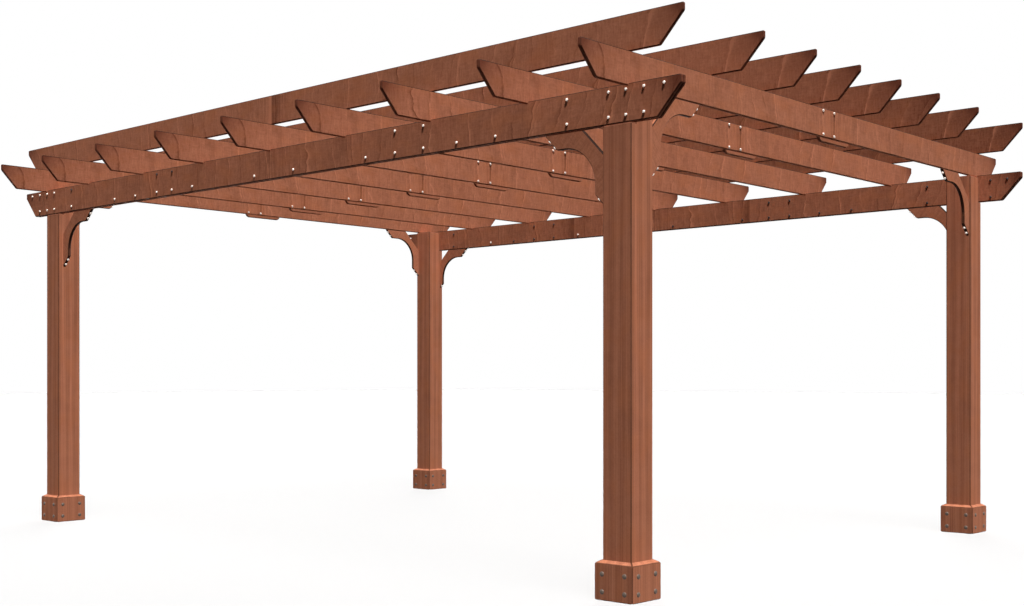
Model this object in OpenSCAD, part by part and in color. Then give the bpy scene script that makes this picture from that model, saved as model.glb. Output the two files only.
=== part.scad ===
// Free-standing timber pergola: four posts, two laminated beams let into the
// posts, nine rafters notched over the beams and eight slats laid across them.
// X runs along the beams and slats, Y along the rafters, Z up. The origin is
// on the ground, under the middle of the whole frame.

/* [Footprint] */
// Length between the outer faces of the posts, along the beams
span_x = 4400; // [3200:10:5400]
// Depth between the outer faces of the posts, along the rafters
span_y = 3206; // [2500:1:4000]
// Height of the underside of the beams
headroom = 1832; // [1500:1:2300]

/* [Posts] */
// Side of the square posts
post_w = 140; // [110:1:180]
// Thickness of the trim boards round each foot
trim_t = 22.5; // [15:0.5:35]
// Height of the outer face of the trim
trim_h = 143; // [90:1:200]
// Rise of the sloped ledge from the trim's face to the post
trim_rise = 13; // [0:1:25]

/* [Beams] */
// Depth of the beam boards
beam_h = 147; // [110:1:200]
// Thickness of each of the two boards that make a beam
ply_t = 17.5; // [14:0.5:30]
// How far a beam stands proud of the posts' outer face
beam_proud = 6; // [0:1:12]
// Overhang of the beams past the posts
beam_over = 233; // [150:1:400]
// Plumb part of the cut at a beam's end
beam_plumb = 32; // [10:1:60]
// Length of the sloping undercut at a beam's end
beam_run = 107; // [40:1:140]
// Place of the joints in the outer boards, from the middle
outer_joint = 959; // [780:1:1200]
// Place of the joints in the inner boards, from the middle
inner_joint = 718; // [500:1:760]

/* [Rafters] */
// Depth of the rafters
rafter_h = 134; // [100:1:180]
// Thickness of the rafters
rafter_t = 17.5; // [12:0.5:30]
// Spacing of the rafters between the two outermost
rafter_pitch = 564; // [440:1:600]
// Place of the middle rafter, from the middle of the beams
rafter_shift = -20; // [-40:1:40]
// How far the two outermost rafters stand in from the posts' outer faces
rafter_set_in = 7; // [0:0.5:20]
// Depth of the notches that seat the rafters on the beams
rafter_notch = 10; // [4:1:30]
// Overhang of the rafters in front of the posts
front_over = 293; // [180:1:450]
// Overhang of the rafters behind the posts
back_over = 226; // [180:1:450]
// Plumb part of the cut at a rafter's end
rafter_plumb = 33; // [10:1:60]
// Length of the sloping undercut at a rafter's end
rafter_run = 92; // [40:1:140]

/* [Splice plates] */
// Length of the plate over the joint in each rafter
splice_l = 286; // [200:1:400]
// How far a plate hangs below its rafter
splice_drop = 18; // [0:1:40]
// Radius of a plate's two lower corners
splice_r = 30; // [5:1:50]

/* [Slats] */
// Depth of the slats
slat_h = 144; // [100:1:180]
// Thickness of the slats
slat_t = 16; // [12:0.5:30]
// Overhang of the slats past the posts
slat_over = 234.5; // [150:0.5:400]
// Plumb part of the cut at a slat's end
slat_plumb = 30.5; // [10:0.5:60]
// Length of the sloping undercut at a slat's end
slat_run = 108; // [40:1:140]
// Setback of the front slat's face from the posts' front
slat_setback = 7; // [-10:1:40]
// How far the back slat stands out past the posts' back
slat_stand_out = 3; // [-40:1:20]
// Place of the six inner slats' middle, from the middle of the posts
slat_shift = -4.5; // [-40:0.5:40]
// Spacing of the six inner slats, from front to back
slat_pitches = [410, 388, 392, 409, 457]; // [300:1:480]

/* [Braces] */
// Width of the brace boards
brace_w = 140; // [110:1:170]
// Thickness of the brace boards
brace_t = 17.5; // [12:0.5:30]
// Distance from post to upper edge of a brace under a beam
beam_brace_leg = 120; // [80:1:180]
// Distance from post to upper edge of a brace under a rafter
rafter_brace_leg = 137; // [80:1:180]
// Radius of the arch cut in a brace's lower edge
arch_r = 153; // [120:1:155]
// Distance of the arch's centre from the post and from the member carried
arch_set = 215; // [215:1:225]
// How far the front braces run up behind the beam
brace_lap = 100; // [40:1:108]
// How much is cut off the back beam braces where they meet the post
back_brace_cut = 30; // [0:1:50]

/* [Fit] */
// Gap between boards that meet end to end
joint_gap = 1; // [0.5:0.1:2]
// Clearance at each side of a rafter's notch
notch_gap = 0.3; // [0.1:0.1:1]

/* [Hidden] */
$fn = 64;
rafter_count = 9;
slat_count = 8;
rafter_mid = (rafter_count + 1) / 2;
beam_t = 2 * ply_t;
beam_seat = beam_t - beam_proud;
beam_top = headroom + beam_h;
rafter_z = beam_top - rafter_notch;
slat_z = rafter_z + rafter_h;
beam_l = span_x + 2 * beam_over;
slat_l = span_x + 2 * slat_over;
rafter_l = span_y + front_over + back_over;
plate_h = rafter_h + splice_drop;
mid_y = (front_over - back_over) / 2;
inner_slats = len(slat_pitches) + 1;
over = 1;

// Sum of the first n entries of a list
function sum_of(list, n) = n == 0 ? 0 : list[n - 1] + sum_of(list, n - 1);

// Left face of rafter i: the outer two stand in from the posts' outer faces
function rafter_x(i) =
    i == 1 ? rafter_set_in - span_x / 2 :
    i == rafter_count ? span_x / 2 - rafter_set_in - rafter_t :
    rafter_shift + (i - rafter_mid) * rafter_pitch - rafter_t / 2;

// Front face of slat j: the outer two are over the beams
function slat_y(j) =
    j == 1 ? -span_y / 2 + slat_setback :
    j == slat_count ? span_y / 2 + slat_stand_out - slat_t :
    slat_shift + sum_of(slat_pitches, j - 2) - (sum_of(slat_pitches, inner_slats - 1) + slat_t) / 2;

// Moves a shape drawn about the middle of the four posts to the part's frame
module placed() translate([0, mid_y, 0]) children();

// Repeats a shape drawn for the right-hand back post at the post on side sx, sy
module on_side(sx, sy) mirror([sx < 0 ? 1 : 0, 0, 0]) mirror([0, sy < 0 ? 1 : 0, 0]) children();

// Side of a board with plumb ends that turn into a sloping undercut
module board_side(l, h, plumb, run) {
    polygon([
        [-l / 2, h], [l / 2, h], [l / 2, h - plumb],
        [l / 2 - run, 0], [run - l / 2, 0], [-l / 2, h - plumb]
    ]);
}

// Stands a side view drawn in X and Y upright in X and Z, from y to y + t
module upright_x(y, t) translate([0, y + t, 0]) rotate([90, 0, 0]) linear_extrude(t) children();

// Stands a side view drawn in X and Y upright in Y and Z, from x to x + t
module upright_y(x, t) translate([x, 0, 0]) rotate([90, 0, 90]) linear_extrude(t) children();

// Saw cut across a board that runs along X
module cut_x(x, y, z, t, h) {
    translate([x - joint_gap / 2, y - over, z - over]) cube([joint_gap, t + 2 * over, h + 2 * over]);
}

// Post with a seat for the beam cut in its outer face
module post(sx, sy) {
    color("#7d4e3a") placed() on_side(sx, sy)
    difference() {
        translate([span_x / 2 - post_w, span_y / 2 - post_w, 0]) cube([post_w, post_w, rafter_z]);
        translate([span_x / 2 - post_w - over, span_y / 2 - beam_seat, headroom])
            cube([post_w + 2 * over, beam_seat + over, beam_h]);
    }
}

// Four mitred boards round the foot of a post, with a sloped top
module trim(sx, sy) {
    half = post_w / 2;
    color("#83523c") placed() on_side(sx, sy)
    translate([span_x / 2 - half, span_y / 2 - half, 0])
    for (turn = [0:3]) rotate(90 * turn)
    intersection() {
        upright_y(-half - trim_t, post_w + 2 * trim_t)
            polygon([[half, 0], [half + trim_t, 0], [half + trim_t, trim_h], [half, trim_h + trim_rise]]);
        linear_extrude(trim_h + trim_rise)
            polygon([
                [-half + joint_gap, half], [half - joint_gap, half],
                [half + trim_t - joint_gap, half + trim_t], [-half - trim_t + joint_gap, half + trim_t]
            ]);
    }
}

// One layer of a beam: three boards in a line, seat is its depth in the posts
module beam_layer(sy, seat, joint) {
    color("#7a4b37") placed() on_side(1, sy)
    difference() {
        upright_x(span_y / 2 - seat, ply_t) translate([0, headroom])
            board_side(beam_l, beam_h, beam_plumb, beam_run);
        for (side = [-1, 1]) cut_x(side * joint, span_y / 2 - seat, headroom, ply_t, beam_h);
    }
}

// Rafter of two boards that meet in the middle, notched over both beams
module rafter(i) {
    color("#9a6149") placed()
    difference() {
        upright_y(rafter_x(i), rafter_t) translate([(back_over - front_over) / 2, rafter_z])
            board_side(rafter_l, rafter_h, rafter_plumb, rafter_run);
        for (sy = [-1, 1]) on_side(1, sy)
            translate([rafter_x(i) - over, span_y / 2 - beam_seat - notch_gap, rafter_z - over])
                cube([rafter_t + 2 * over, beam_t + 2 * notch_gap, rafter_notch + over]);
        translate([rafter_x(i) - over, -joint_gap / 2, rafter_z - over])
            cube([rafter_t + 2 * over, joint_gap, rafter_h + 2 * over]);
    }
}

// Plates on the left of the rafters, over the joints between their boards
module rafter_splices() {
    color("#8a5641") placed()
    for (i = [1:rafter_count]) upright_y(rafter_x(i) - rafter_t, rafter_t)
        translate([0, rafter_z - splice_drop]) {
            translate([-splice_l / 2, splice_r]) square([splice_l, plate_h - splice_r]);
            translate([splice_r - splice_l / 2, 0]) square([splice_l - 2 * splice_r, plate_h]);
            for (side = [-1, 1]) translate([side * (splice_l / 2 - splice_r), splice_r]) circle(splice_r);
        }
}

// Slat of two boards that meet over the middle rafter
module slat(j) {
    color("#7b4c38") placed()
    difference() {
        upright_x(slat_y(j), slat_t) translate([0, slat_z])
            board_side(slat_l, slat_h, slat_plumb, slat_run);
        cut_x(rafter_shift, slat_y(j), slat_z, slat_t, slat_h);
    }
}

// Side of a brace in the corner at the origin, with its post along -Y and
// what it carries along +X; lap carries its upper end on past the corner
module brace_side(leg, lap) {
    far = leg + brace_w * sqrt(2);
    shoulder = arch_set - arch_r;
    difference() {
        polygon([[leg + lap, lap], [far + lap, lap], [0, -far], [0, -leg]]);
        translate([arch_set, -arch_set]) circle(arch_r);
        translate([arch_set, -far - over]) square([far, far + over - shoulder]);
        translate([shoulder, -far - over]) square([far, far + over - arch_set]);
    }
}

// Brace from a post to a beam; in front it laps the beam's inner face
module beam_brace(sx, sy) {
    face = sy * (span_y / 2 - beam_seat);
    cut = sy > 0 ? back_brace_cut : 0;
    color("#8f5a44") placed() on_side(sx, 1)
    translate([span_x / 2 - post_w, 0, 0]) mirror([1, 0, 0])
    upright_x(face, brace_t) translate([-cut, headroom])
    intersection() {
        brace_side(beam_brace_leg, sy < 0 ? brace_lap : 0);
        translate([cut, -span_x]) square(2 * span_x);
    }
}

// Brace from a post to the outer rafter above it
module rafter_brace(sx, sy) {
    color("#8f5a44") placed() on_side(sx, sy)
    translate([0, span_y / 2 - post_w, 0]) mirror([0, 1, 0])
    upright_y(span_x / 2 - rafter_set_in - brace_t, brace_t) translate([0, rafter_z])
        brace_side(rafter_brace_leg, 0);
}

post(-1, -1);  // post_front_left
post(1, -1);  // post_front_right
post(-1, 1);  // post_back_left
post(1, 1);  // post_back_right
trim(-1, -1);  // trim_front_left
trim(1, -1);  // trim_front_right
trim(-1, 1);  // trim_back_left
trim(1, 1);  // trim_back_right
beam_layer(-1, ply_t - beam_proud, outer_joint);  // beam_front_outer
beam_layer(-1, beam_seat, inner_joint);  // beam_front_inner
beam_layer(1, ply_t - beam_proud, outer_joint);  // beam_back_outer
beam_layer(1, beam_seat, inner_joint);  // beam_back_inner
rafter(1);  // rafter_1
rafter(2);  // rafter_2
rafter(3);  // rafter_3
rafter(4);  // rafter_4
rafter(5);  // rafter_5
rafter(6);  // rafter_6
rafter(7);  // rafter_7
rafter(8);  // rafter_8
rafter(9);  // rafter_9
rafter_splices();
slat(1);  // slat_1
slat(2);  // slat_2
slat(3);  // slat_3
slat(4);  // slat_4
slat(5);  // slat_5
slat(6);  // slat_6
slat(7);  // slat_7
slat(8);  // slat_8
beam_brace(-1, -1);  // beam_brace_front_left
beam_brace(1, -1);  // beam_brace_front_right
beam_brace(-1, 1);  // beam_brace_back_left
beam_brace(1, 1);  // beam_brace_back_right
rafter_brace(-1, -1);  // rafter_brace_front_left
rafter_brace(1, -1);  // rafter_brace_front_right
rafter_brace(-1, 1);  // rafter_brace_back_left
rafter_brace(1, 1);  // rafter_brace_back_right
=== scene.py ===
import math
import random

import bmesh
import bpy
from mathutils import Matrix, Vector


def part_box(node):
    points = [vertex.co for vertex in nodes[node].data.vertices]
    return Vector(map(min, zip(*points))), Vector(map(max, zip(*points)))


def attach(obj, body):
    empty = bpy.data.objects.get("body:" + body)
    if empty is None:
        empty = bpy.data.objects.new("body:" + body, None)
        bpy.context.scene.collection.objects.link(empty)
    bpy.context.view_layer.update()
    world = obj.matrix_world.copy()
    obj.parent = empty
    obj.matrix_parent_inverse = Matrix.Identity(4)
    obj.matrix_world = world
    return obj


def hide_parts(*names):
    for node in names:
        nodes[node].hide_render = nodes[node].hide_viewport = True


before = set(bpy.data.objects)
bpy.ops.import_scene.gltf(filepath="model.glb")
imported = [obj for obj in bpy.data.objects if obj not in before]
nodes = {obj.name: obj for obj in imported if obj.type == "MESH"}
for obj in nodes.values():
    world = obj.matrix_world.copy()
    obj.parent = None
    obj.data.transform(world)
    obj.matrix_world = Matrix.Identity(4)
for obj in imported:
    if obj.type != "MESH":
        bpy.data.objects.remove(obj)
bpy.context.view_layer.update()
corners = ["front_left", "front_right", "back_left", "back_right"]
rafterCount = sum(name.startswith("rafter_") and name[7:].isdigit() for name in nodes)
slatCount = sum(name.startswith("slat_") for name in nodes)
axisX, axisY, axisZ = Vector((1, 0, 0)), Vector((0, 1, 0)), Vector((0, 0, 1))

# the middle of the four posts, on the ground
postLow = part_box("post_front_left")[0]
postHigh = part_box("post_back_right")[1]
postMid = Vector(((postLow.x + postHigh.x) / 2, (postLow.y + postHigh.y) / 2, 0))
print("frame loaded", len(nodes), "nodes")


class Value:
    # a socket whose sums and products add Math nodes

    def __init__(self, shader, socket):
        self.shader = shader
        self.socket = socket

    def output(self, key):
        return Value(self.shader, self.socket.node.outputs[key])

    def maths(self, operation, *others):
        return self.shader.add("ShaderNodeMath", {"operation": operation}, [self, *others])

    def reflected(self, operation, other):
        return self.shader.add("ShaderNodeMath", {"operation": operation}, [other, self])

    def __add__(self, other):
        return self.maths("ADD", other)

    def __sub__(self, other):
        return self.maths("SUBTRACT", other)

    def __mul__(self, other):
        return self.maths("MULTIPLY", other)

    def __truediv__(self, other):
        return self.maths("DIVIDE", other)

    def __rsub__(self, other):
        return self.reflected("SUBTRACT", other)

    def __rtruediv__(self, other):
        return self.reflected("DIVIDE", other)

    __radd__ = __add__
    __rmul__ = __mul__

    def fading(self, rate):
        # 1 where the value is 0, and then falls by a factor e for each 1 / rate
        return (self * -rate).maths("EXPONENT")

    def clamped(self, low, high):
        return self.shader.add("ShaderNodeClamp", None, [self, low, high])


class Shader:
    # the nodes of a material or of the world

    def __init__(self, owner):
        self.owner = owner
        owner.use_nodes = True
        self.tree = owner.node_tree
        self.tree.nodes.clear()

    def add(self, kind, settings=None, sockets=(), output=0):
        node = self.tree.nodes.new(kind)
        for key, value in (settings or {}).items():
            setattr(node, key, value)
        pairs = sockets.items() if isinstance(sockets, dict) else enumerate(sockets)
        for key, value in pairs:
            if isinstance(value, Value):
                self.tree.links.new(value.socket, node.inputs[key])
            else:
                node.inputs[key].default_value = value
        return Value(self, node.outputs[output]) if node.outputs else node

    def mixed(self, amount, first, second):
        return self.add("ShaderNodeMix", {"data_type": "RGBA"}, {0: amount, 6: first, 7: second}, output=2)

    def seenRays(self):
        # 1 for rays from the camera, also by way of glass or a shiny surface
        camera = self.add("ShaderNodeLightPath", output="Is Camera Ray")
        seen = camera.maths("MAXIMUM", camera.output("Is Transmission Ray"))
        return seen.maths("MAXIMUM", camera.output("Is Glossy Ray"))

    def finish(self, surface, kind="ShaderNodeOutputMaterial"):
        self.add(kind, None, {"Surface": surface})
        return self.owner


def linear(*rgb):
    # a colour written out of 255, as linear light
    return tuple(((c / 255 + 0.055) / 1.055) ** 2.4 if c > 10 else c / 3295 for c in rgb) + (1,)


woodSettings = {
    "dark": linear(127, 75, 54),
    "light": linear(201, 130, 99),
    "orange": linear(186, 110, 70),
    # edge is the near-black colour of the painted edge shade, on eased edges and on a brace's shaded sawn faces
    "edge": linear(17, 8, 5),
    "tip": linear(92, 43, 30),
    "middle": 0.5,  # of the tone from dark to light
    "roughness": 0.68,
    "roughnessSpread": 0.15,
    "specular": 0.06,
    "bump": 0.10,
    "bumpDistance": 0.002,
}

# the scale of each noise is along the board, across it and through it
bothGrains = {
    "clouds": {"scale": (3.2, 5, 5), "detail": 3.0, "roughness": 0.5, "share": 0.30},
    "patches": {"scale": (16, 14, 14), "detail": 2.0, "roughness": 0.5, "share": 0.22},
}
grainSettings = {
    "lengthwise": {
        "fine": {"scale": (1.6, 170, 170), "detail": 2.0, "roughness": 0.5, "share": 0.95},
        "speckle": {"scale": (150, 150, 150), "detail": 1.0, "roughness": 0.5, "share": 0.25},
        **bothGrains,
    },
    "crosswise": {  # as on rotary-cut boards
        "fine": {"scale": (125, 19, 40), "detail": 3.0, "roughness": 0.7, "share": 0.85},
        "weave": {"scale": (26, 115, 40), "detail": 2.0, "roughness": 0.6, "share": 0.42},
        "speckle": {"scale": (150, 150, 150), "detail": 1.0, "roughness": 0.5, "share": 0.35},
        **bothGrains,
    },
}

# long wide streaks down the posts
bandSettings = {
    "width": 0.051,
    "share": 0.10,
    "starts": (0.0518, 0.0392),  # where the streaks begin on the two faces of a post
    "warp": {"scale": (0.6, 9, 9), "detail": 1.0, "roughness": 0.5, "share": 1.6},
}

orangeSettings = {
    "patches": {"scale": (7, 12, 12), "detail": 2.0, "roughness": 0.5, "start": 40},
    "spread": 0.03,
    "gain": 1.3,
    "most": 0.26,
}

# lines across a board, light on one side and dark on the other
figureSettings = {
    "lines": [
        {"period": 0.34, "wander": 0.55, "bright": 1.05, "dull": 0.60},
        {"period": 0.115, "wander": 0.16, "bright": 0.26, "dull": 0.32},
    ],
    "lean": 0.5,  # how far the lines lean over towards a board's ends
    "leanReach": 0.45,
    "tilt": 1.5,
    "ripple": 0.016,
    "sway": 0.05,
    "lightFall": 170,
    "lightTail": {"fall": 26, "share": 0.06},
    "shadeFall": 230,
    "shadeTail": {"fall": 30, "share": 0.05},
    "seedStep": 5,
    "chanceStep": 31,
    "strength": {"gain": 2.2, "less": 0.55, "most": 1.25},
    "uneven": {"gain": 3.2, "middle": 0.85, "least": 0.15, "most": 1.3},
}

# noises over a board's face that are the same all through it, told apart by their level
faceNoises = {
    "uneven": {"scale": (11, 26), "level": 1.0, "detail": 1.0},
    "middle": {"scale": (80, 1.0), "level": 2.6, "detail": 1.0},
    "wander": {"scale": (2.6, 0), "level": 3.0, "detail": 1.0},
    "joint": {"scale": (110, 2), "level": 4.0, "detail": 1.0},
    "sway": {"scale": (4.0, 12), "level": 5.0, "detail": 1.0},
    "ripple": {"scale": (9, 42), "level": 7.0, "detail": 2.0},
    "tilt": {"scale": (1.9, 0), "level": 9.0, "detail": 1.0},
}

# stripes round the middle of a member, the dark side of a joint and the light line beside it
jointSettings = {
    "middleFall": 8,
    "middleStripes": 1.2,
    "darkReach": 0.05,
    "dark": 0.75,
    "darkStripes": 1.5,
    "gleamReach": 0.018,
    "gleam": 0.9,
}

tipSettings = {"reach": 0.10, "height": 0.075, "slant": 0.75, "gain": 1.15, "most": 0.8}
seedSteps = (7.3, 3.1)  # how far apart two boards' seeds set their noises


class Grain:
    # where a point lies on its board, and the noises laid out along it

    def __init__(self, shader):
        self.shader = shader
        self.seed = self.attribute("board")
        self.along = shader.add("ShaderNodeSeparateXYZ", None, [self.attribute("grain", "Vector")])
        self.across = self.along.output("Y")
        self.through = self.along.output("Z")
        self.fromMiddle = self.along.maths("ABSOLUTE")
        self.fromEnd = self.attribute("halfLength") - self.fromMiddle

    def attribute(self, key, output="Fac"):
        return self.shader.add("ShaderNodeAttribute", {"attribute_name": key}, output=output)

    def noise(self, x, y, z, detail, roughness=0.5):
        stepX, stepY = seedSteps
        where = self.shader.add("ShaderNodeCombineXYZ", None,
                                [x + self.seed * stepX, y + self.seed * stepY, z])
        texture = self.shader.add("ShaderNodeTexNoise", {"noise_dimensions": "3D"},
                                  {"Vector": where, "Scale": 1.0, "Detail": detail, "Roughness": roughness})
        return texture - 0.5

    def solid(self, settings):
        x, y, z = settings["scale"]
        along = self.along * x
        if "start" in settings:
            along = along + settings["start"]
        return self.noise(along, self.across * y, self.through * z, settings["detail"], settings["roughness"])

    def face(self, key, rise=0.0):
        settings = faceNoises[key]
        x, y = settings["scale"]
        return self.noise(self.along * x, self.across * y, settings["level"] + rise, settings["detail"])


def postBands(grain):
    settings = bandSettings
    waves = 2 * math.pi / settings["width"]
    warp = grain.solid(settings["warp"]) * settings["warp"]["share"]
    startX, startY = settings["starts"]
    return (((grain.across + startX) * waves + warp).maths("COSINE")
            + ((grain.through + startY) * waves + warp).maths("COSINE"))


def addFigure(grain, tone):
    settings = figureSettings
    strengths, evenness = settings["strength"], settings["uneven"]
    lean = grain.along.maths("SIGN") * grain.fromEnd.fading(1 / settings["leanReach"]) * settings["lean"]
    tilt = grain.face("tilt") * settings["tilt"]
    wave = grain.face("ripple") * settings["ripple"] + grain.face("sway") * settings["sway"]
    straight = grain.along - grain.across * (lean + tilt) + wave
    for lines in settings["lines"]:
        period = lines["period"]
        turns = (straight + grain.face("wander", period) * lines["wander"]) / period
        turns = turns + grain.seed * settings["seedStep"]
        which = turns.maths("FLOOR")
        past = (turns - which) * period
        before = past - period
        chance = grain.shader.add("ShaderNodeTexWhiteNoise", {"noise_dimensions": "1D"},
                                  {"W": which + grain.seed * settings["chanceStep"]})
        strength = (chance * strengths["gain"] - strengths["less"]).clamped(0.0, strengths["most"])
        uneven = grain.face("uneven") * evenness["gain"] + evenness["middle"]
        uneven = uneven.clamped(evenness["least"], evenness["most"])
        tail = settings["lightTail"]
        light = past.fading(settings["lightFall"]) * lines["bright"] + past.fading(tail["fall"]) * tail["share"]
        tail = settings["shadeTail"]
        shade = before.fading(-settings["shadeFall"]) * lines["dull"] + before.fading(-tail["fall"]) * tail["share"]
        tone = tone + (light - shade) * strength * uneven
    return tone


def addJoint(grain, tone):
    settings = jointSettings
    toJoint, joint = grain.attribute("toJoint"), grain.attribute("joint")
    nearMiddle = grain.fromMiddle.fading(settings["middleFall"])
    tone = tone + grain.face("middle") * nearMiddle * settings["middleStripes"]
    dark = toJoint.fading(1 / settings["darkReach"]) * joint.clamped(0.0, 1.0)
    gleam = toJoint.fading(1 / settings["gleamReach"]) * (joint * -1).clamped(0.0, 1.0)
    stripes = settings["dark"] + grain.face("joint") * settings["darkStripes"]
    return tone + gleam * settings["gleam"] - dark * stripes


def redTips(grain):
    # the finish darkens to red at a board's ends, most along its upper edge
    settings = tipSettings
    reach = grain.fromEnd + (settings["height"] - grain.across) * settings["slant"]
    return (reach.fading(1 / settings["reach"]) * settings["gain"]).clamped(0.0, settings["most"])


def woodMaterial(name, direction, figured=False):
    settings, noises, orange = woodSettings, grainSettings[direction], orangeSettings
    shader = Shader(bpy.data.materials.new(name))
    grain = Grain(shader)
    fine = grain.solid(noises["fine"])
    tone = settings["middle"] + fine * noises["fine"]["share"]
    if direction == "lengthwise":
        tone = tone + postBands(grain) * bandSettings["share"]
    for key, noise in noises.items():
        if key != "fine":
            tone = tone + grain.solid(noise) * noise["share"]
    if figured:
        tone = addJoint(grain, addFigure(grain, tone))
    colour = shader.mixed(tone + grain.attribute("tint"), settings["dark"], settings["light"])
    patches = (grain.solid(orange["patches"]) + orange["spread"]) * orange["gain"]
    colour = shader.mixed(patches.clamped(0.0, orange["most"]), colour, settings["orange"])
    if figured:
        colour = shader.mixed(redTips(grain), colour, settings["tip"])
    # painted edge shade: faces marked by the eased attribute are darkened towards near-black
    colour = shader.mixed(grain.attribute("eased"), colour, settings["edge"])
    bump = shader.add("ShaderNodeBump", None, {"Strength": settings["bump"],
                                               "Distance": settings["bumpDistance"], "Height": fine})
    return shader.finish(shader.add("ShaderNodeBsdfPrincipled", None, {
        "Base Color": colour,
        "Roughness": settings["roughness"] + fine * settings["roughnessSpread"],
        "Specular IOR Level": settings["specular"],
        "Normal": bump,
    }))


woods = {
    "board": woodMaterial("boardWood", "crosswise", True),
    "post": woodMaterial("postWood", "lengthwise"),
    "small": woodMaterial("smallWood", "crosswise"),
}


metalSettings = {
    "zincHeads": {"colour": linear(226, 214, 204), "roughness": 0.42, "metallic": 0.35},
    "boltHeads": {"colour": linear(92, 78, 68), "roughness": 0.5, "metallic": 0.3},
    "sunkHeads": {"colour": linear(44, 24, 18), "roughness": 0.6, "metallic": 0.0},
}
gritSettings = {"scale": 420.0, "detail": 3.0, "paler": 1.25, "roughnessSpread": 0.2}


def metalMaterial(name):
    settings = metalSettings[name]
    shader = Shader(bpy.data.materials.new(name))
    place = shader.add("ShaderNodeTexCoord", output="Object")
    grit = shader.add("ShaderNodeTexNoise", None,
                      {"Vector": place, "Scale": gritSettings["scale"], "Detail": gritSettings["detail"]})
    paler = tuple(min(1, c * gritSettings["paler"]) for c in settings["colour"][:3]) + (1,)
    return shader.finish(shader.add("ShaderNodeBsdfPrincipled", None, {
        "Base Color": shader.mixed(grit, settings["colour"], paler),
        "Metallic": settings["metallic"],
        "Roughness": settings["roughness"] + (grit - 0.5) * gritSettings["roughnessSpread"],
    }))


metals = {name: metalMaterial(name) for name in metalSettings}
print("materials made")


def addPiece(name, slot, material, bm):
    mesh = bpy.data.meshes.new(name)
    bm.to_mesh(mesh)
    bm.free()
    mesh.materials.append(material)
    piece = bpy.data.objects.new(name, mesh)
    bpy.context.scene.collection.objects.link(piece)
    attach(piece, "root")
    return piece


# ease is the width of the eased edges, and seeds are the grains that its boards choose from; a kind's own number,
# where given, sets how dark the painted edge shade on its eased edges is
boardKinds = {
    "post": {"slot": "post_wood", "wood": "post", "ease": 0.0050, "seeds": [0.13],
             "lightness": 0.13, "edgeShade": 0.62},
    "trim": {"slot": "trim_wood", "wood": "post", "ease": 0.0030, "seeds": [0.31, 0.77],
             "lightness": -0.03, "edgeShade": 0.62},
    "beam": {"slot": "beam_wood", "wood": "board", "ease": 0.0038, "seeds": [0.42],
             "lightness": -0.02},
    "rafter": {"slot": "rafter_wood", "wood": "board", "ease": 0.0038, "seeds": [0.18, 0.63],
               "lightness": 0.03, "plainUnder": True},
    "splice": {"slot": "splice_wood", "wood": "small", "ease": 0.0038, "seeds": [0.05, 0.36, 0.71],
               "lightness": 0.05, "plainUnder": True},
    "slat": {"slot": "slat_wood", "wood": "board", "ease": 0.0038, "seeds": [0.27, 0.84],
             "lightness": 0.19, "eachDarker": 0.06},
    "brace": {"slot": "brace_wood", "wood": "small", "ease": 0.0038, "seeds": [0.05, 0.36, 0.71],
              "lightness": 0.10, "sawn": True},
}

boardSettings = {
    "sharpAngle": math.radians(12),
    "flatAngle": math.radians(1),
    "mergeWithin": 1e-5,
    "closeUp": 0.0005,  # half the gap where boards meet end to end
    "endZone": 0.15,  # how near a member's own ends an end face is no joint
    "endFacing": 0.99,  # how squarely a joint's face looks along the member
    "smallFace": 0.001,
    "levelWithin": 1e-4,
    "reachWithin": 0.01,
    "longEdge": 0.3,
    "longEdgeShade": 0.92,  # how dark the painted edge shade on the eased edges is, along a board and at its ends
    "endEdgeShade": 0.45,
    "sawnShade": 0.90,
    "sawnFrom": 0.2,  # how far up a sawn face may look and still get painted shade
    "sawnOver": 0.25,
    "sawnFacing": 0.5,  # how little a sawn face looks to the side
    "topFrom": 0.3,
    "tintSpread": 0.03,
}

chooser = random.Random(7)


def islands(bm):
    # groups of faces that hang together, each one board
    bm.faces.ensure_lookup_table()
    left = set(bm.faces)
    for first in list(bm.faces):
        if first not in left:
            continue
        group, waiting = set(), [first]
        while waiting:
            face = waiting.pop()
            if face in group:
                continue
            group.add(face)
            waiting.extend(other for e in face.edges for other in e.link_faces if other not in group)
        left -= group
        yield group


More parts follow.
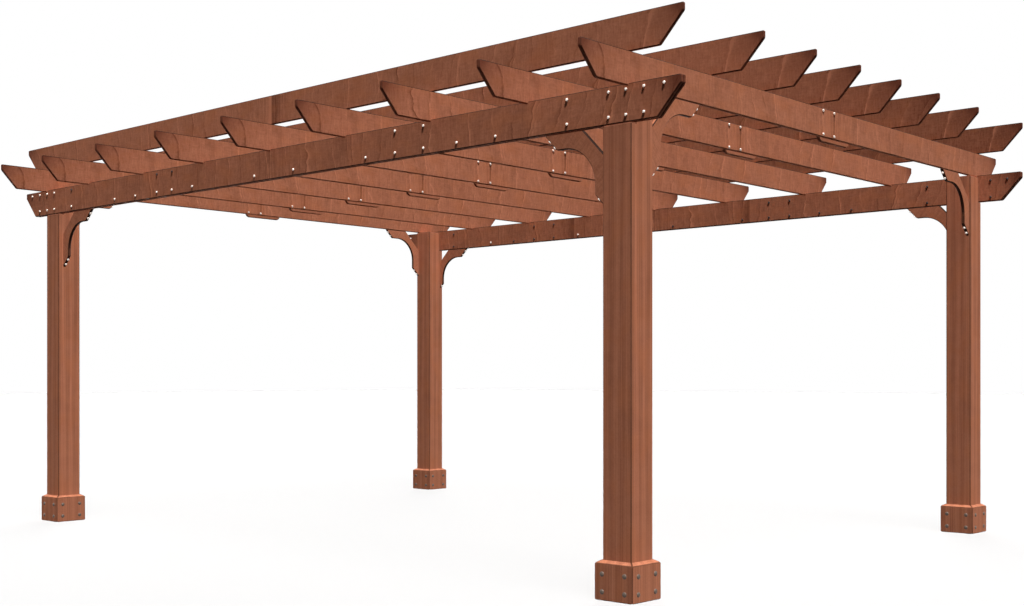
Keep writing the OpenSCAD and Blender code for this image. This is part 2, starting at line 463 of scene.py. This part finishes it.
class Member:
    # a CAD node's boards, which are given eased edges and have their grain written on them

    def __init__(self, node, kind, along, across):
        self.node, self.along, self.across = node, along, across
        self.settings = boardKinds[kind]
        low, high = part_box(node)
        self.mid = (low + high) / 2
        self.reach = abs((high - low).dot(along)) / 2
        self.bm = bm = bmesh.new()
        bm.from_mesh(nodes[node].data)
        bmesh.ops.remove_doubles(bm, verts=bm.verts, dist=boardSettings["mergeWithin"])
        bmesh.ops.dissolve_limit(bm, angle_limit=boardSettings["flatAngle"], verts=bm.verts, edges=bm.edges)
        self.faceLayers = {key: bm.faces.layers.float.new(key)
                           for key in ("eased", "board", "tint", "halfLength", "joint")}
        self.grainLayer = bm.verts.layers.float_vector.new("grain")
        self.toJointLayer = bm.verts.layers.float.new("toJoint")

    def place(self, point):
        return (point - self.mid).dot(self.along)

    def inside(self, place):
        return abs(place) < self.reach - boardSettings["endZone"]

    def paintShadeOnSawnFaces(self, flat, paintedShadeOnTop):
        # painted shade: a brace's sawn edges are darkened where they look down, and its top is darkened too when
        # the top flag is set
        settings = boardSettings
        for face in self.bm.faces:
            if abs(face.normal.dot(flat)) < settings["sawnFacing"]:
                under = (settings["sawnFrom"] - face.normal.z) / settings["sawnOver"]
                under = min(1.0, max(0.0, under)) * settings["sawnShade"]
                top = 1.0 if paintedShadeOnTop and face.normal.z > settings["topFrom"] else 0.0
                face[self.faceLayers["eased"]] = max(under, top)

    def closeJoints(self):
        settings = boardSettings
        for face in self.bm.faces:
            out = face.normal.dot(self.along)
            joint = abs(out) > settings["endFacing"] and self.inside(self.place(face.calc_center_median()))
            if joint and face.calc_area() > settings["smallFace"]:
                step = self.along * math.copysign(settings["closeUp"], out)
                bmesh.ops.translate(self.bm, verts=face.verts, vec=step)

    def isJointEdge(self, edge):
        first, second = (self.place(v.co) for v in edge.verts)
        return abs(first - second) < boardSettings["levelWithin"] and self.inside(first)

    def easeEdges(self):
        # edges of two boards that meet end to end are left square
        settings, kind = boardSettings, self.settings
        sharp = [e for e in self.bm.edges if e.is_manifold and e.calc_face_angle() > settings["sharpAngle"]
                 and (kind["wood"] == "small" or not self.isJointEdge(e))]
        eased = bmesh.ops.bevel(self.bm, geom=sharp, offset=kind["ease"], affect="EDGES",
                                segments=1, profile=0.5, material=-1)
        # the eased faces get painted edge shade, darkened towards near-black, except on the undersides of rafters
        # and splices
        for face in eased["faces"]:
            long = max(e.calc_length() for e in face.edges) > settings["longEdge"]
            edgeShade = settings["longEdgeShade" if long or kind.get("sawn") else "endEdgeShade"]
            if kind.get("plainUnder") and face.normal.z < 0:
                edgeShade = 0.0
            face[self.faceLayers["eased"]] = kind.get("edgeShade", edgeShade)

    def writeGrain(self, lightness, jointSide):
        # the far end is the one on jointSide: boards that don't reach it are dark at their joint,
        # and those that do gleam there when jointSide is -1
        settings, layers, turn = boardSettings, self.faceLayers, jointSide or 1
        through = self.along.cross(self.across)
        for faces in islands(self.bm):
            seed = chooser.choice(self.settings["seeds"])
            tint = lightness + chooser.uniform(-settings["tintSpread"], settings["tintSpread"])
            verts = {v for face in faces for v in face.verts}
            places = [self.place(v.co) * turn for v in verts]
            far = max(places) > self.reach - settings["reachWithin"]
            for face in faces:
                face.smooth = True
                face[layers["board"]] = seed
                face[layers["tint"]] = tint
                face[layers["halfLength"]] = self.reach
                face[layers["joint"]] = min(0, jointSide) if far else abs(jointSide)
            for vert in verts:
                offset = vert.co - self.mid
                place = offset.dot(self.along)
                vert[self.grainLayer] = Vector((place, offset.dot(self.across), offset.dot(through)))
                vert[self.toJointLayer] = place * turn - min(places) if far else max(places) - place * turn

    def finish(self):
        piece = addPiece(self.node + "_finished", self.settings["slot"], woods[self.settings["wood"]], self.bm)
        piece.data.set_sharp_from_angle(angle=boardSettings["sharpAngle"])
        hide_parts(self.node)
        return piece


def finishBoards(node, kind, along, across, number=0, jointSide=0, flat=None, paintedShadeOnTop=False):
    member = Member(node, kind, along, across)
    settings = member.settings
    if flat:
        member.paintShadeOnSawnFaces(flat, paintedShadeOnTop)
    if settings["wood"] == "board":
        member.closeJoints()
    member.easeEdges()
    member.writeGrain(settings["lightness"] - settings.get("eachDarker", 0) * number, jointSide)
    return member.finish()


lit = {"beams": [], "rafters": [], "braces": [], "rest": []}
for corner in corners:
    for kind in ("post", "trim"):
        lit["rest"].append(finishBoards(f"{kind}_{corner}", kind, axisZ, axisX))
for side in ("front", "back"):
    for layer, jointSide in (("outer", 0), ("inner", 1)):
        lit["beams"].append(finishBoards(f"beam_{side}_{layer}", "beam", axisX, axisZ, jointSide=jointSide))
for i in range(1, rafterCount + 1):
    lit["rafters"].append(finishBoards(f"rafter_{i}", "rafter", axisY, axisZ))
lit["rafters"].append(finishBoards("rafter_splices", "splice", axisY, axisZ))
for i in range(1, slatCount + 1):
    lit["rest"].append(finishBoards(f"slat_{i}", "slat", axisX, axisZ, i, -1))


def braceDirections(corner):
    # which way the two braces of a corner lead away from their post
    sideX = 1 if "right" in corner else -1
    sideY = 1 if "back" in corner else -1
    return [("beam", -sideX * axisX, axisY), ("rafter", -sideY * axisY, axisX)]


for corner in corners:
    for kind, out, flat in braceDirections(corner):
        rise = (out + axisZ).normalized()
        # beam braces get painted shade on their tops, where the beam and post would shade them
        lit["braces"].append(finishBoards(f"{kind}_brace_{corner}", "brace", rise, rise.cross(flat),
                                          flat=flat, paintedShadeOnTop=kind == "beam"))
print("boards finished")


headSettings = {
    "mergeWithin": 1e-6,
    "beam": {"radius": 0.0060, "height": 0.0060, "steps": 16, "shape": "pan"},
    "rafter": {"radius": 0.0064, "height": 0.0062, "steps": 16, "shape": "pan"},
    "brace": {"radius": 0.0068, "height": 0.0050, "steps": 16, "shape": "pan"},
    "sunk": {"radius": 0.0064, "height": 0.0055, "steps": 14, "shape": "pan"},
    "bolt": {"radius": 0.0104, "height": 0.0042, "steps": 20, "shape": "dome"},
    # outlines from the crown to the rim and under the surface, for a radius and a height of 1
    "dome": [(0, 1), (0.4, 0.93), (0.74, 0.7), (0.93, 0.36), (1, 0.08), (1, -0.15), (0, -0.15)],
    "pan": [(0, 1), (0.5, 0.97), (0.8, 0.86), (0.95, 0.66), (1, 0.4), (1, -0.15), (0, -0.15)],
}


def addHead(bm, kind, place, normal):
    # a domed head that stands on a surface at place
    settings = headSettings[kind]
    radius, height = settings["radius"], settings["height"]
    verts = [bm.verts.new((x * radius, 0, z * height)) for x, z in headSettings[settings["shape"]]]
    edges = [bm.edges.new(pair) for pair in zip(verts, verts[1:])]
    bmesh.ops.spin(bm, geom=verts + edges, cent=(0, 0, 0), axis=(0, 0, 1), angle=2 * math.pi,
                   steps=settings["steps"], use_merge=True)
    grown, waiting = set(), [v for v in verts if v.is_valid]
    while waiting:
        vert = waiting.pop()
        if vert in grown:
            continue
        grown.add(vert)
        waiting.extend(e.other_vert(vert) for e in vert.link_edges)
    turn = normal.to_track_quat("Z", "Y").to_matrix().to_4x4()
    bmesh.ops.transform(bm, matrix=Matrix.Translation(place) @ turn, verts=list(grown))


def sortInPlace(bm):
    # merging leaves the parts in an order that changes from run to run
    for parts, place in ((bm.verts, lambda v: v.co[:]), (bm.faces, lambda f: f.calc_center_median()[:])):
        ranks = {part: rank for rank, part in enumerate(sorted(parts, key=place))}
        parts.sort(key=lambda part: ranks[part])


def headsPiece(name, slot, metal, kind, places):
    bm = bmesh.new()
    for place, normal in places:
        addHead(bm, kind, place, normal)
    bmesh.ops.remove_doubles(bm, verts=bm.verts, dist=headSettings["mergeWithin"])
    bmesh.ops.recalc_face_normals(bm, faces=bm.faces)
    sortInPlace(bm)
    for face in bm.faces:
        face.smooth = True
    return addPiece(name, slot, metals[metal], bm)


# places along each beam from the posts' middle, in rows by how far they are under its top
beamScrews = {
    "outer": {
        "bright": {
            0.022: [-2.356, -2.266, -2.179, -2.096, 0.888, 1.070, 1.887, 2.096, 2.180, 2.265, 2.359],
            0.119: [-2.266, -2.179, -2.096, -1.898, -1.428, -1.217, -1.007, -0.863, -0.675, -0.140,
                    0.168, 0.691, 0.888, 1.070, 1.274, 1.500, 1.887, 2.096, 2.180, 2.265],
        },
        "sunk": {0.022: [-1.898, -1.006, -0.862]},
    },
    "inner": {
        "bright": {0.033: [-2.385], 0.122: [-1.519, -0.682]},
        "sunk": {
            0.033: [-2.267, -1.908, -1.091, -0.904, 0.858, 1.004, 1.898, 2.267, 2.360],
            0.125: [-2.267, -1.908, -1.288, -1.091, -0.904, -0.140,
                    0.129, 0.665, 0.858, 1.004, 1.210, 1.423, 1.898, 2.267],
        },
    },
    "behindBrace": (1.6, 2.07),  # no heads here on the front beam's inner face
}


def beamScrewPlaces(kind):
    places = []
    nearest, furthest = beamScrews["behindBrace"]
    for side, facing in (("front", -1), ("back", 1)):
        for layer, out in (("outer", facing), ("inner", -facing)):
            low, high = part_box(f"beam_{side}_{layer}")
            face = low.y if out < 0 else high.y
            for depth, row in beamScrews[layer][kind].items():
                for x in row:
                    if (side, layer) == ("front", "inner") and nearest < abs(x) < furthest:
                        continue
                    places.append((Vector((postMid.x + x, face, high.z - depth)), out * axisY))
    return places


rafterScrews = {"fromMiddle": [-0.138, -0.037], "heights": [0.012, 0.121]}


def rafterScrewPlaces():
    # on each rafter's right face and on the splice plate at its left
    places = []
    for i in range(1, rafterCount + 1):
        low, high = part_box(f"rafter_{i}")
        plate = low.x - (high.x - low.x)
        for y in rafterScrews["fromMiddle"]:
            for z in rafterScrews["heights"]:
                places.append((Vector((high.x, postMid.y + y, low.z + z)), axisX))
                places.append((Vector((plate, postMid.y - y, low.z + z)), -axisX))
    return places


# shares of the two short sloped cuts at the ends of a brace's lower edge
braceScrews = {"cut": 0.062, "upper": [0.33, 0.76], "lower": [0.28, 0.70], "short": [0.5], "shortUnder": 0.8}


def braceScrewPlaces():
    places = []
    cut = braceScrews["cut"]
    whole = {}
    for corner in corners:  # the front corners come first, and their braces are whole
        for kind, out, flat in braceDirections(corner):
            low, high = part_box(f"{kind}_brace_{corner}")
            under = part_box(f"beam_{corner.split('_')[0]}_inner")[0].z if kind == "beam" else high.z
            root = (low + high) / 2
            root += out * -abs((high - low).dot(out)) / 2
            root.z = under
            drop = under - low.z
            foot = cut + drop - whole.setdefault(kind, drop)
            slope = (out - axisZ).normalized()
            for t in braceScrews["upper"]:
                places.append((root + out * (drop - t * cut) - axisZ * t * cut, slope))
            for t in braceScrews["lower" if foot > cut * braceScrews["shortUnder"] else "short"]:
                places.append((root + out * t * foot - axisZ * (drop - t * foot), slope))
    return places


trimBolts = {"inset": 0.038, "heights": [0.0335, 0.102]}


def trimBoltPlaces():
    places = []
    inset = trimBolts["inset"]
    for corner in corners:
        low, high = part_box("trim_" + corner)
        for z in trimBolts["heights"]:
            for x in (low.x + inset, high.x - inset):
                places.append((Vector((x, low.y, z)), -axisY))
                places.append((Vector((x, high.y, z)), axisY))
            for y in (low.y + inset, high.y - inset):
                places.append((Vector((low.x, y, z)), -axisX))
                places.append((Vector((high.x, y, z)), axisX))
    return places


heads = {
    "beams": [headsPiece("beam_screws", "zinc_screws", "zincHeads", "beam", beamScrewPlaces("bright")),
              headsPiece("beam_sunk_screws", "dark_bolts", "sunkHeads", "sunk", beamScrewPlaces("sunk"))],
    "rafters": [headsPiece("rafter_screws", "zinc_screws", "zincHeads", "rafter", rafterScrewPlaces())],
    "braces": [headsPiece("brace_screws", "zinc_screws", "zincHeads", "brace", braceScrewPlaces())],
    "rest": [headsPiece("trim_bolts", "dark_bolts", "boltHeads", "bolt", trimBoltPlaces())],
}
print("heads made")


cameraSettings = {
    "place": (5.291, -5.668, 0.863),  # from the middle of the posts
    "level": 90,
    "turn": 42.34,
    "sensor": 36,
    "lens": 47.05,
    "shiftY": 0.0717,
}

camera = bpy.data.objects.new("camera", bpy.data.cameras.new("camera"))
bpy.context.scene.collection.objects.link(camera)
camera.location = postMid + Vector(cameraSettings["place"])
camera.rotation_euler = (math.radians(cameraSettings["level"]), 0, math.radians(cameraSettings["turn"]))
camera.data.sensor_width = cameraSettings["sensor"]
camera.data.lens = cameraSettings["lens"]
camera.data.shift_y = cameraSettings["shiftY"]
bpy.context.scene.camera = camera

# towards is where a sun stands, and angle how wide it is in degrees
keySun = (0.344, -0.195, 0.918)
keyStrength, softShare = 6.4, 0.12
sunSettings = {
    "key": {"towards": keySun, "strength": keyStrength * (1 - softShare), "angle": 1},
    "soft": {"towards": keySun, "strength": keyStrength * softShare, "angle": 25},
    "fill": {"towards": (-0.55, 0.75, 0.25), "strength": 2.0, "angle": 40},
    "under": {"towards": (0.1, -0.2, -0.97), "strength": 0.30, "angle": 40},
    "heads": {"towards": (0.5, -0.75, 0.4), "strength": 1.3, "angle": 5},
}


def addSun(name, kind, shadow):
    settings = sunSettings[kind]
    data = bpy.data.lights.new(name, "SUN")
    data.energy = settings["strength"]
    data.angle = math.radians(settings["angle"])
    data.use_shadow = shadow
    lamp = bpy.data.objects.new(name, data)
    bpy.context.scene.collection.objects.link(lamp)
    lamp.rotation_euler = Vector(settings["towards"]).to_track_quat("Z", "Y").to_euler()
    return lamp


def lightGroup(name, pieces):
    group = bpy.data.collections.new(name)
    for piece in pieces:
        group.objects.link(piece)
    return group


# boards of one kind share a sun that only their own screw heads shade, and the floor is lit with the rest
litGroups = {}
for kind, pieces in lit.items():
    shaded = kind != "rest"
    sun = addSun(kind + "Sun", "key", shaded)
    litGroups[kind] = lightGroup(kind + "Lit", pieces + heads[kind])
    sun.light_linking.receiver_collection = litGroups[kind]
    if shaded:
        sun.light_linking.blocker_collection = lightGroup(kind + "Shading", heads[kind])
addSun("softSun", "soft", True)
addSun("fillSun", "fill", False)
addSun("underSun", "under", False)
headSun = addSun("headSun", "heads", False)
headSun.light_linking.receiver_collection = lightGroup("headsLit", [heads["beams"][0], heads["braces"][0]])

stageSettings = {
    "worldColour": (1, 0.97, 0.94, 1),
    "worldStrength": 0.05,
    "seenWorld": (1, 1, 1, 1),
    "floorSize": 60,
    "floorDrop": 0.0005,
    "floorColour": (0.02, 0.02, 0.02, 1),
    "seenFloor": (0.485, 0.485, 0.485, 1),
}

world = bpy.data.worlds.new("studio")
bpy.context.scene.world = world
backdrop = Shader(world)
dim = backdrop.add("ShaderNodeBackground", None, {"Color": stageSettings["worldColour"],
                                                  "Strength": stageSettings["worldStrength"]})
white = backdrop.add("ShaderNodeBackground", None, {"Color": stageSettings["seenWorld"]})
backdrop.finish(backdrop.add("ShaderNodeMixShader", None, [backdrop.seenRays(), dim, white]),
                "ShaderNodeOutputWorld")

paleFloor = Shader(bpy.data.materials.new("paleFloor"))
pale = paleFloor.add("ShaderNodeBsdfDiffuse", None, {"Color": stageSettings["seenFloor"]})
dull = paleFloor.add("ShaderNodeBsdfDiffuse", None, {"Color": stageSettings["floorColour"]})
paleFloor.finish(paleFloor.add("ShaderNodeMixShader", None, [paleFloor.seenRays(), dull, pale]))

bm = bmesh.new()
bmesh.ops.create_grid(bm, x_segments=1, y_segments=1, size=stageSettings["floorSize"])
floorMesh = bpy.data.meshes.new("floor")
bm.to_mesh(floorMesh)
bm.free()
floorMesh.materials.append(paleFloor.owner)
floor = bpy.data.objects.new("floor", floorMesh)
bpy.context.scene.collection.objects.link(floor)
floor.location.z = -stageSettings["floorDrop"]
litGroups["rest"].objects.link(floor)

bpy.context.scene.view_settings.view_transform = "Standard"
print("stage set")
